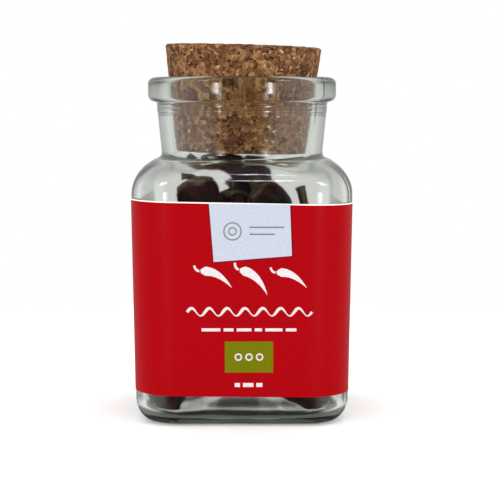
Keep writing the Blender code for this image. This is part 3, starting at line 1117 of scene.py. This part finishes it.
@dataclass
class DriedChilli:
    """One whole dried chilli: a wrinkled hollow body, a calyx with short points, and a cut stalk."""

    place: ChilliPlace
    number: int
    sides: int = 60
    rings: int = 110
    taper: float = 3.6
    fold_depth: float = 0.16
    folds_round: float = 2.6
    fold_length: float = 15.0
    fold_twist: float = 0.8
    fold_narrowness: float = 2.4
    # Creases and puckers are finer than folds, by these factors round the body and along it
    crease_depth: float = 0.05
    crease_narrowness: float = 4.0
    crease_finer: tuple[float, float] = (2.3, 3.0)
    pucker: float = 0.05
    pucker_finer: tuple[float, float] = (1.4, 4.0)
    stalk_ridges: int = 5
    stalk_ridge: float = 0.08
    stalk_roughness: float = 0.06
    stalk_sides: int = 40
    stalk_steps: int = 14
    calyx_steps: int = 12
    calyx_reach: float = 3.2
    calyx_points: int = 5
    calyx_thickness: float = 0.35
    calyx_overlap: float = 0.25

    def length(self) -> float:
        """The straight distance from calyx to tip."""
        return (Vector(self.place.calyx) - Vector(self.place.tip)).length

    def centre(self, t: float) -> tuple[Vector, Vector]:
        """The body's middle line.

        Args:
            t: The share of the way from calyx to tip.

        Returns:
            A point on it and its direction there.
        """
        start, bend, end = Vector(self.place.calyx), Vector(self.place.bend), Vector(self.place.tip)
        return bend_between(start, bend, end, t), ((bend - start) * (1 - t) + (end - bend) * t).normalized()

    def radius(self, t: float) -> float:
        """The body's radius before it shrivelled, by the share of the way along."""
        shoulder = 1 - (1 - self.place.calyx_share) * math.exp(-t / self.place.swell)
        return self.place.radius * shoulder * (1 - (1 - self.place.tip_share) * t**self.taper)

    def cross(self, direction: Vector) -> tuple[Vector, Vector]:
        """Two axes across the body, the second along its flattened side."""
        side = direction.cross(Vector((0, 1, 0))).normalized()
        return side, side.cross(direction).normalized()

    def shrink(self, angle: float, t: float) -> tuple[float, float]:
        """How far the skin has fallen in at one place.

        Args:
            angle: The direction round the body.
            t: The share of the way along.

        Returns:
            The radius left, as a share, and how deep in a fold the place is, from 0 to 1, which also sets the
            painted shade there.
        """
        # Each chilli reads the noise at a place of its own
        seed = Vector((self.number * 11.3, self.number * 5.7, 0.0))
        twist = angle + self.fold_twist * t
        spot = Vector((self.folds_round * math.cos(twist), self.folds_round * math.sin(twist),
                       t * self.length() / self.fold_length)) + seed
        fine, swollen = (noise.noise(Vector((spot.x * across, spot.y * across, spot.z * along)))
                         for across, along in (self.crease_finer, self.pucker_finer))
        fold = max(0.0, 1 - abs(noise.noise(spot)) * self.fold_narrowness)**2
        crease = max(0.0, 1 - abs(fine) * self.crease_narrowness)**2
        # The skin falls in less near the calyx and the tip
        ends = min(1.0, t * 9) * min(1.0, (1 - t) * 6 + 0.35)
        fallen = self.fold_depth * fold + self.crease_depth * crease - self.pucker * swollen
        return 1.04 - ends * fallen, min(1.0, 0.85 * fold + 0.5 * crease) * ends

    def body(self) -> tuple[bmesh.types.BMesh, list[float]]:
        """Builds the body.

        Returns:
            The mesh, and each vertex's fold depth, which masks the painted shade in the folds.
        """
        rings, folds = [], []
        for i in range(self.rings):
            t = (i / (self.rings - 1))**1.15
            point, direction = self.centre(t)
            side, flat = self.cross(direction)
            radius = self.radius(t)
            ring = []
            for angle in full_turn(self.sides):
                share, fold = self.shrink(angle, t)
                ring.append(point + side * math.cos(angle) * radius * share
                            + flat * math.sin(angle) * radius * share * self.place.flatness)
                folds.append(fold)
            rings.append(ring)
        point, direction = self.centre(1.0)
        end = self.radius(1.0)
        middle = sum(rings[-1], Vector()) / self.sides
        rings.append([middle + (p - middle) * 0.6 + direction * end * 0.55 for p in rings[-1]])
        folds += folds[-self.sides:]
        return loft(rings), folds

    def stalk_path(self) -> list[Vector]:
        """The stalk's middle line, with a slight bow.

        Returns:
            Points on it, from its cut end to the calyx.
        """
        start, end = Vector(self.place.stem_end), Vector(self.place.calyx)
        bow = end - self.centre(0.0)[1] * (end - start).length * 0.45
        return [bend_between(start, bow, end, i / self.stalk_steps) for i in range(self.stalk_steps + 1)]

    def stalk_rings(self, angles: Sequence[float]) -> list[list[Vector]]:
        """Rings along the stalk.

        Args:
            angles: The directions of a ring's points.

        Returns:
            The rings, from the cut end, which flares, to the calyx, where the stalk thickens again.
        """
        path = self.stalk_path()
        rings = []
        for i, point in enumerate(path[:-1]):
            side, flat = self.cross((path[i + 1] - point).normalized())
            t = i / self.stalk_steps
            swelling = 1 + 0.3 * math.exp(-t / 0.06) + 0.9 * max(0.0, t - 0.7)**1.5 / 0.16
            radius = self.place.stalk_radius * swelling
            ring = []
            rough = self.stalk_roughness * noise.noise(point * 0.8)
            for angle in angles:
                ridge = 1 + self.stalk_ridge * math.cos(self.stalk_ridges * angle + self.number) + rough
                ring.append(point + (side * math.cos(angle) + flat * math.sin(angle)) * radius * ridge)
            rings.append(ring)
        return rings

    def calyx_ring(self, angles: Sequence[float], u: float, outer: bool) -> list[Vector]:
        """One ring of the calyx, which lies over the body's shoulder in short points.

        Args:
            angles: The directions of the ring's points.
            u: The share of the way from the stalk to the points.
            outer: Whether the ring is on the calyx's outside, or under it inside the body.

        Returns:
            The ring's points.
        """
        ring = []
        for angle in angles:
            lobe = 0.5 + 0.5 * math.cos(self.calyx_points * angle + self.number)
            reach = self.calyx_reach * (0.55 + 0.45 * lobe**1.5) * u
            t = reach / self.length()
            point, direction = self.centre(t)
            side, flat = self.cross(direction)
            skin = self.radius(t) * self.shrink(angle, t)[0]
            rise = min(1.0, 0.3 + 1.1 * u**0.7)
            lift = self.calyx_thickness * (1 + 0.5 * noise.noise(point + side * math.cos(angle) * 2))
            radius = skin * rise + (lift if outer else -self.calyx_overlap)
            ring.append(point - direction * 0.8 * (1 - u)**2
                        + side * math.cos(angle) * radius
                        + flat * math.sin(angle) * radius * self.place.flatness)
        return ring

    def top(self) -> bmesh.types.BMesh:
        """Builds the stalk and the calyx as one piece.

        Returns:
            The mesh.
        """
        angles = full_turn(self.stalk_sides)
        shares = [i / self.calyx_steps for i in range(1, self.calyx_steps + 1)]
        rings = self.stalk_rings(angles)
        rings += [self.calyx_ring(angles, u, True) for u in shares]
        rings += [self.calyx_ring(angles, u, False) for u in reversed(shares)]
        return loft(rings)


def join_meshes(meshes: Iterable[bmesh.types.BMesh]) -> bmesh.types.BMesh:
    """Puts several meshes into one.

    Args:
        meshes: The meshes, which are freed.

    Returns:
        The mesh that holds them all.
    """
    whole = bmesh.new()
    for mesh in meshes:
        data = bpy.data.meshes.new("part")
        mesh.to_mesh(data)
        mesh.free()
        whole.from_mesh(data)
        bpy.data.meshes.remove(data)
    return whole


@dataclass
class ChilliHeap:
    """All the chillies in the jar, stood in it and leaning on one another."""

    places: Sequence[ChilliPlace] = CHILLIES

    def build(self) -> None:
        """Builds the bodies as one piece and the stalks as another."""
        bodies, tops = [], []
        for number, place in enumerate(self.places):
            chilli = DriedChilli(place, number)
            body, folds = chilli.body()
            # Each vertex carries its fold depth, the mask of the skin's painted shade in the folds
            layer = body.verts.layers.float.new("fold_depth")
            body.verts.ensure_lookup_table()
            for vert, fold in zip(body.verts, folds):
                vert[layer] = fold
            bodies.append(body)
            tops.append(chilli.top())
        skins = finish_piece("chilli_skins", join_meshes(bodies), [DriedSkin().build()], 75)
        place_piece(skins, ["dried_chillies"])
        stalks = finish_piece("chilli_stalks", join_meshes(tops), [DriedStalk().build()], 60)
        place_piece(stalks)


class Lights(Enum):
    """What a lamp lights: everything, only what is matt, or only what is glossy."""

    ALL = "all"
    MATT = "matt"
    GLOSS = "gloss"


@dataclass(frozen=True)
class SoftBox:
    """A softbox: where it hangs as seen from the jar, how large it looks, and how bright it is."""

    azimuth: float
    elevation: float
    width: float
    height: float
    radiance: float
    lights: Lights = Lights.ALL

    def build(self, target: Vector, distance: float) -> None:
        """Hangs the light, facing the jar.

        Args:
            target: The point that it faces.
            distance: How far off it is, in metres.
        """
        across = 2 * distance * math.tan(math.radians(self.width) / 2)
        tall = 2 * distance * math.tan(math.radians(self.height) / 2)
        data = bpy.data.lights.new("softbox", "AREA")
        data.shape = "RECTANGLE"
        data.size, data.size_y = across, tall
        data.energy = self.radiance * math.pi * across * tall
        light = bpy.data.objects.new("softbox", data)
        a, e = math.radians(self.azimuth), math.radians(self.elevation)
        back = Vector((math.sin(a) * math.cos(e), -math.cos(a) * math.cos(e), math.sin(e)))
        light.location = target + back * distance
        light.rotation_euler = back.to_track_quat("Z", "Y").to_euler()
        light.visible_glossy = self.lights is not Lights.MATT
        light.visible_diffuse = self.lights is not Lights.GLOSS
        bpy.context.scene.collection.objects.link(light)


@dataclass
class Studio:
    """A disc of white paper in a pale room, with softboxes and the camera."""

    camera_place: tuple[float, float, float] = (2.05, -400.0, 81.5)
    camera_pitch: float = 5.74
    # Focal length in image widths: the photograph's width is 500 pixels
    focal_widths: float = 1541 / 500
    sensor_mm: float = 36.0
    floor_radius: float = 0.2
    backdrop: float = 1.0
    card: float = 0.84
    dim: float = 0.03
    ceiling: float = 0.14
    sides: float = 0.95
    back: float = 0.62
    table: float = 0.2
    scattered: float = 1.3
    scattered_inside: float = 1.85
    # Where each part of the room starts and where it is full, along one axis of the view from the jar
    parts: tuple[tuple[str, str, float, float], ...] = (
        ("underfoot", "Z", -0.18, -0.22), ("level", "Z", -0.35, -0.15), ("low", "Z", 0.95, 0.6),
        ("above", "Z", 0.6, 0.9), ("facing", "Y", 0.0, 0.5), ("beside", "X", 0.45, 0.82))
    target_z: float = 50.0
    light_distance: float = 1.3
    boxes: tuple[SoftBox, ...] = (
        SoftBox(-30, 4, 12, 20, 2.5),
        SoftBox(-30, 4, 5, 14, 32.0, Lights.GLOSS),
        SoftBox(34, 4, 12, 20, 2.5),
        SoftBox(34, 4, 5, 14, 40.0, Lights.GLOSS),
        SoftBox(-56, 46, 12, 12, 7.0),
        SoftBox(62, 46, 12, 12, 7.0),
        SoftBox(1, 45, 4, 2, 16.0, Lights.GLOSS),
        SoftBox(0.5, 66, 2.2, 2, 16.0, Lights.GLOSS),
        SoftBox(0, 82, 60, 60, 0.15, Lights.MATT),
    )

    def build_world(self) -> bpy.types.World:
        """Builds the room: dim behind the camera, overhead and below, bright at the sides, pale at the back.

        Returns:
            The world, which shows as plain white wherever nothing stands in front of it.
        """
        world = bpy.data.worlds.new("pale_studio")
        world.use_nodes = True
        tree = world.node_tree
        axes = add(tree, "SeparateXYZ", links={0: add(tree, "TexCoord").outputs["Generated"]}).outputs
        across = add(tree, "Math", links={0: axes["X"]}, operation="ABSOLUTE")
        along = {"X": across, "Y": axes["Y"], "Z": axes["Z"]}
        part = {name: add(tree, "MapRange", {"From Min": start, "From Max": end}, {"Value": along[axis]},
                          interpolation_type="SMOOTHSTEP") for name, axis, start, end in self.parts}
        kept = add(tree, "MapRange", {"To Min": self.table}, {"Value": part["level"]})
        band = add(tree, "Math", links={0: kept, 1: part["low"]}, operation="MULTIPLY")
        behind = add(tree, "Math", links={0: part["facing"], 1: band}, operation="MULTIPLY")
        over = add(tree, "MapRange", {"To Min": self.dim, "To Max": self.ceiling}, {"Value": part["above"]})
        wall = add(tree, "MapRange", {"To Max": self.back}, {"Value": behind, "To Min": over})
        walls = add(tree, "MapRange", {"To Max": self.sides}, {"Value": part["beside"], "To Min": wall})
        path = add(tree, "LightPath").outputs
        # What is matt scatters the whole room's light, and more of it behind glass, where no lamp reaches
        matt = add(tree, "Math", {1: 0.5}, {0: path["Diffuse Depth"]}, operation="GREATER_THAN")
        inside = add(tree, "Math", {1: 0.5}, {0: path["Transmission Depth"]}, operation="GREATER_THAN")
        spread = add(tree, "MapRange", {"To Min": self.scattered, "To Max": self.scattered_inside},
                     {"Value": inside})
        room = add(tree, "MapRange", links={"Value": matt, "To Min": walls, "To Max": spread})
        # Straight through the glass and past it there is only the white backdrop
        turns = add(tree, "Math", links={0: path["Glossy Depth"], 1: path["Diffuse Depth"]}, operation="ADD")
        unturned = add(tree, "Math", {1: 0.5}, {0: turns}, operation="LESS_THAN")
        through = path["Is Transmission Ray"]
        seen = add(tree, "Math", links={0: path["Is Camera Ray"], 1: through}, operation="MAXIMUM")
        straight = add(tree, "Math", links={0: seen, 1: unturned}, operation="MULTIPLY")
        # The card hangs close behind the jar, so it fills the view through it and no more
        card = add(tree, "MapRange", {"To Min": self.card, "To Max": self.dim}, {"Value": part["underfoot"]})
        backdrop = add(tree, "MapRange", {"To Min": self.backdrop}, {"Value": through, "To Max": card})
        strength = add(tree, "MapRange", links={"Value": straight, "To Min": room, "To Max": backdrop})
        background = tree.nodes["Background"]
        background.inputs["Color"].default_value = (1, 1, 1, 1)
        tree.links.new(background.inputs["Strength"], strength.outputs["Result"])
        return world

    def build(self) -> None:
        """Sets the floor, the lights and the camera."""
        scene = bpy.context.scene
        scene.view_settings.view_transform = "Standard"
        # Light that runs round inside the thick glass needs more turns than opaque things do
        scene.cycles.max_bounces = 24
        scene.cycles.transmission_bounces = 24
        scene.cycles.glossy_bounces = 12
        scene.world = self.build_world()
        disc = bmesh.new()
        bmesh.ops.create_circle(disc, cap_ends=True, segments=96, radius=self.floor_radius)
        data = bpy.data.meshes.new("studio_floor")
        disc.to_mesh(data)
        disc.free()
        data.materials.append(StudioPaper().build())
        floor = bpy.data.objects.new("studio_floor", data)
        scene.collection.objects.link(floor)
        # The glass shows the dark under its own foot instead of the paper
        floor.visible_glossy = False
        floor.visible_transmission = False
        for box in self.boxes:
            box.build(Vector((0, 0, self.target_z * MM)), self.light_distance)
        lens = bpy.data.cameras.new("camera")
        lens.sensor_width = self.sensor_mm
        lens.lens = self.focal_widths * self.sensor_mm
        lens.clip_start = 0.01
        camera = bpy.data.objects.new("camera", lens)
        camera.location = Vector(self.camera_place) * MM
        camera.rotation_euler = (math.radians(90 - self.camera_pitch), 0, 0)
        scene.collection.objects.link(camera)
        scene.camera = camera


def main() -> None:
    """Builds the jar, its stopper, its label and what is in it, and then the studio."""
    logging.basicConfig(level=logging.INFO, format="%(message)s")
    jar = GlassJar()
    jar.build()
    CorkStopper().build()
    label = PaperLabel(jar)
    label.build_band()
    LabelPrint(label).build()
    ChilliHeap().build()
    Studio().build()


if __name__ == "__main__":
    main()
